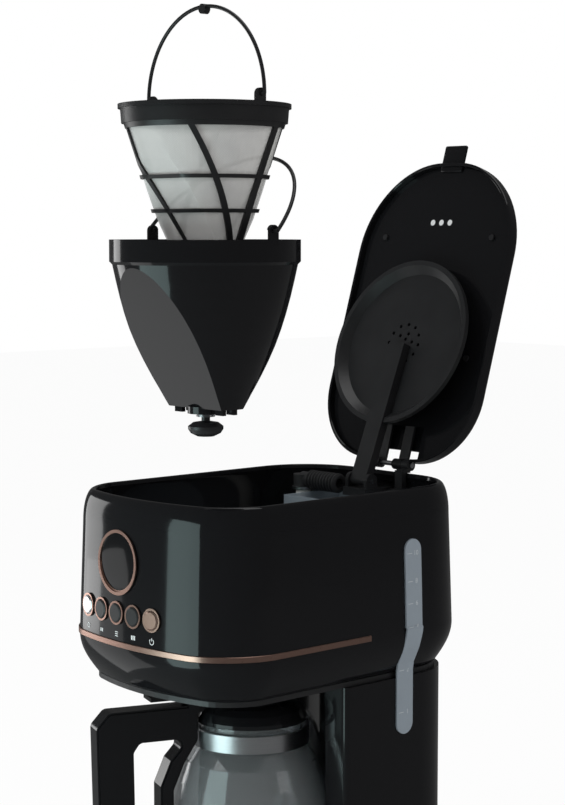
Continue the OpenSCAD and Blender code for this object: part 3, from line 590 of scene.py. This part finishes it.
def roundedBar(name, low, high, radius, body, slotName, place=None, stands=()):
    work = bmesh.new()
    corners = [work.verts.new(p) for p in boxPoints(low, high)]
    for face in boxFaces:
        work.faces.new([corners[k] for k in face])
    bmesh.ops.bevel(work, geom=work.edges[:], offset=radius, segments=4, profile=0.5, affect="EDGES")
    mesh = bpy.data.meshes.new(name)
    work.to_mesh(mesh)
    work.free()
    if place:
        mesh.transform(place)
    smoothShade(mesh, 60)
    return placePiece(name, mesh, body, slotName, stands=stands)


lidEdge = lid["hinge"].y - lid["length"]
tab = dict(halfWidth=12 * mm, proud=16 * mm, inside=7 * mm, low=3 * mm, high=6.5 * mm, round=1.6 * mm)
roundedBar("lidTab", (-tab["halfWidth"], lidEdge - tab["proud"], lid["base"] + tab["low"]),
           (tab["halfWidth"], lidEdge + tab["inside"], lid["base"] + tab["high"]), tab["round"],
           "lid", "black_gloss", lidTurn, ["lid_tab"])

# pale discs fill the vent holes: painted backdrop light, the white seen through the holes
vents = dict(spacing=9.5 * mm, radius=2.5 * mm, along=lidEdge + 50 * mm, height=lid["base"] + 5.4 * mm,
             thick=2 * mm)
for k in (-1, 0, 1):
    rims = []
    for rise in (vents["thick"], 0):
        rims.append(turned([Vector((k * vents["spacing"] + u, vents["along"] + v, vents["height"] + rise))
                            for u, v in disc(vents["radius"], 28)]))
    loft(f"ventPaintedBackdrop{k + 1}", rims, "lid", "black_gloss", shades["print"], closed=True)
print("lid built")

# filter cage: flat ribs and hoops that follow the cone and its two flats
# ribs hold the angle at the foot, the angle at the rim and a width in mm, hoops two heights in mm
cage = dict(x=77 * mm, y=-126 * mm, z=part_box("filter_mesh")[0][2], foot=29 * mm, spread=26 / 86,
            low=11 * mm, slope=math.tan(math.radians(29)), inner=-0.7 * mm, outer=0.9 * mm,
            start=0.6 * mm, top=86.8 * mm, end=0.8 * mm, ribs=((-4, -52, 4.4), (9, 24, 6.4), (74, 62, 4.0)),
            hoops=((24, 26.6), (47, 49.6), (81.4, 86.8)),
            sole=((0, 0.2 * mm), (0.6 * mm, 0.9 * mm), (2 * mm, 0.9 * mm)))


def cagePoint(angle, height, out):
    reach = cage["foot"] + cage["spread"] * height + out
    x, y = reach * math.cos(angle), reach * math.sin(angle)
    limit = cage["low"] + out + height * cage["slope"]
    if abs(y) > limit:
        x, y = x * limit / abs(y), math.copysign(limit, y)
    return Vector((cage["x"] + x, cage["y"] + y, cage["z"] + height))


def cageSection(first, last):
    inner, outer = cage["inner"], cage["outer"]
    return [cagePoint(*first, inner), cagePoint(*last, inner),
            cagePoint(*last, outer), cagePoint(*first, outer)]


for index, (low, high, width) in enumerate(cage["ribs"]):
    for turn in (0, 180):
        rings, samples = [], 14
        for k in range(samples + 1):
            height = cage["start"] + (cage["top"] - cage["end"]) * k / samples
            angle = math.radians(low + (high - low) * k / samples + turn)
            half = width * mm / 2 / (cage["foot"] + cage["spread"] * height)
            rings.append(cageSection((angle - half, height), (angle + half, height)))
        loft(f"filterRib{index}{'AB'[turn // 180]}", rings, "mesh_filter", "black_satin", closed=True)
for index, (low, high) in enumerate(cage["hoops"]):
    angles = [2 * math.pi * k / 120 for k in range(120)]
    rings = [cageSection((angle, low * mm), (angle, high * mm)) for angle in angles]
    loft(f"filterHoop{index}", rings, "mesh_filter", "black_satin", loop=True)
footRings = [[cagePoint(2 * math.pi * k / 96, height, out) for k in range(96)] for height, out in cage["sole"]]
loft("filterFoot", footRings, "mesh_filter", "black_satin", stands=["filter_ribs"], closed=True)
print("filter cage built")

# back cover with its louvres
backCover = dict(halfWidth=37 * mm, low=54.5 * mm, high=153.7 * mm, sunk=1.5 * mm, proud=0.7 * mm,
                 round=0.6 * mm)
backFace = m["halfDepth"] - column["inset"]
roundedBar("backCover", (-backCover["halfWidth"], backFace - backCover["sunk"], backCover["low"]),
           (backCover["halfWidth"], backFace + backCover["proud"], backCover["high"]), backCover["round"],
           "machine", "black_satin", stands=["column_back"])
louvre = dict(count=8, first=74 * mm, pitch=8 * mm, halfWidth=26 * mm, proud=2 * mm, height=3.2 * mm,
              round=0.9 * mm)
for k in range(louvre["count"]):
    z = louvre["first"] + k * louvre["pitch"]
    roundedBar(f"louvre{k}", (-louvre["halfWidth"], backFace, z),
               (louvre["halfWidth"], backFace + louvre["proud"], z + louvre["height"]), louvre["round"],
               "machine", "black_satin")
print("back cover built")

# stage: the floor glows for the camera, shades for the shadow and is dim in reflections
stageSet = dict(reach=6.0, floorTone=0.93, mirrorTone=0.18, glow=0.95, ambient=0.42, glossDrop=0.34)
floorMesh = bpy.data.meshes.new("floor")
r = stageSet["reach"]
floorMesh.from_pydata([(-r, -r, 0), (r, -r, 0), (r, r, 0), (-r, r, 0)], [], [(0, 1, 2, 3)])
floor = bpy.data.objects.new("floor", floorMesh)
bpy.context.collection.objects.link(floor)
s = Sheet("paleFloor")
path = s.add("ShaderNodeLightPath")
mirrored = Wire(s, path.node.outputs["Is Glossy Ray"])
paleOrDim = s.blend(mirrored, grey(stageSet["floorTone"]), grey(stageSet["mirrorTone"]))
matt = s.add("ShaderNodeBsdfPrincipled", {}, {"Base Color": paleOrDim, "Roughness": 0.9,
                                              "Specular IOR Level": 0.1})
shine = s.add("ShaderNodeEmission", {}, {"Color": grey(1), "Strength": 1.0})
seen = Wire(s, path.node.outputs["Is Camera Ray"])
mixed = s.add("ShaderNodeMixShader", {}, {0: seen * stageSet["glow"], 1: matt, 2: shine})
s.add("ShaderNodeOutputMaterial", {}, {"Surface": mixed})
floorMesh.materials.append(s.owner)

world = bpy.data.worlds.new("studio")
bpy.context.scene.world = world
s = Sheet("studio", world)
path = s.add("ShaderNodeLightPath")
direct, through, glossy = (Wire(s, path.node.outputs[f"Is {kind} Ray"]) for kind in
                           ("Camera", "Transmission", "Glossy"))
seen = direct.maths("MAXIMUM", direct, through)
strength = seen + (1 - seen) * (stageSet["ambient"] - stageSet["glossDrop"] * glossy)
sky = s.add("ShaderNodeBackground", {}, {"Color": grey(1), "Strength": strength})
s.add("ShaderNodeOutputWorld", {}, {"Surface": sky})


def softbox(name, place, target, wide, high, power, tint=(1, 1, 1), mirrored=True):
    data = bpy.data.lights.new(name, "AREA")
    data.shape = "RECTANGLE"
    data.size, data.size_y, data.energy, data.color = wide, high, power, tint
    lamp = bpy.data.objects.new(name, data)
    lamp.location = place
    lamp.rotation_euler = (Vector(target) - Vector(place)).to_track_quat("-Z", "Y").to_euler()
    lamp.visible_camera = False
    lamp.visible_glossy = mirrored
    bpy.context.collection.objects.link(lamp)


middleHeight = Vector((0, 0, 0.3))
softbox("keyBox", (-0.5, -1.7, 1.5), middleHeight, 0.8, 0.8, 9, mirrored=False)
softbox("sideBox", (1.9, 0.5, 1.0), middleHeight, 0.7, 1.0, 5, mirrored=False)
softbox("topBox", (0, 0.2, 2.0), middleHeight, 1.2, 1.2, 7)
softbox("holderBox", (-0.33, -0.28, 0.11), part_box("holder_body")[0], 0.2, 0.3, 0.12)


# strip lamps stand where the head's wall throws them back to the camera, at a picture column
grazing = 0.03
stripHeight = 275 * mm
barColumn, edgeColumn = 191, 88


def glint(name, wantedX, height, reach, wide, high, power, tint=(1, 1, 1)):
    ring = planRing(easedInset(height), height, 60)
    best = None
    for k, point in enumerate(ring):
        along = ring[(k + 1) % len(ring)] - ring[k - 1]
        normal = Vector((along.y, -along.x, 0)).normalized()
        toEye = (cameraPlace - point).normalized()
        if normal.dot(toEye) < grazing:
            continue
        miss = abs(pictureX(point) - wantedX)
        if best is None or miss < best[0]:
            best = (miss, point, normal, toEye)
    miss, point, normal, toEye = best
    thrown = 2 * normal.dot(toEye) * normal - toEye
    softbox(name, point + thrown * reach, point, wide, high, power, tint)


glint("barStrip", barColumn, stripHeight, 0.45, 0.34, 0.5, 1.4, (0.75, 1.0, 1.0))
glint("edgeStrip", edgeColumn, stripHeight, 1.3, 0.5, 1.3, 5)
print("stage lit")
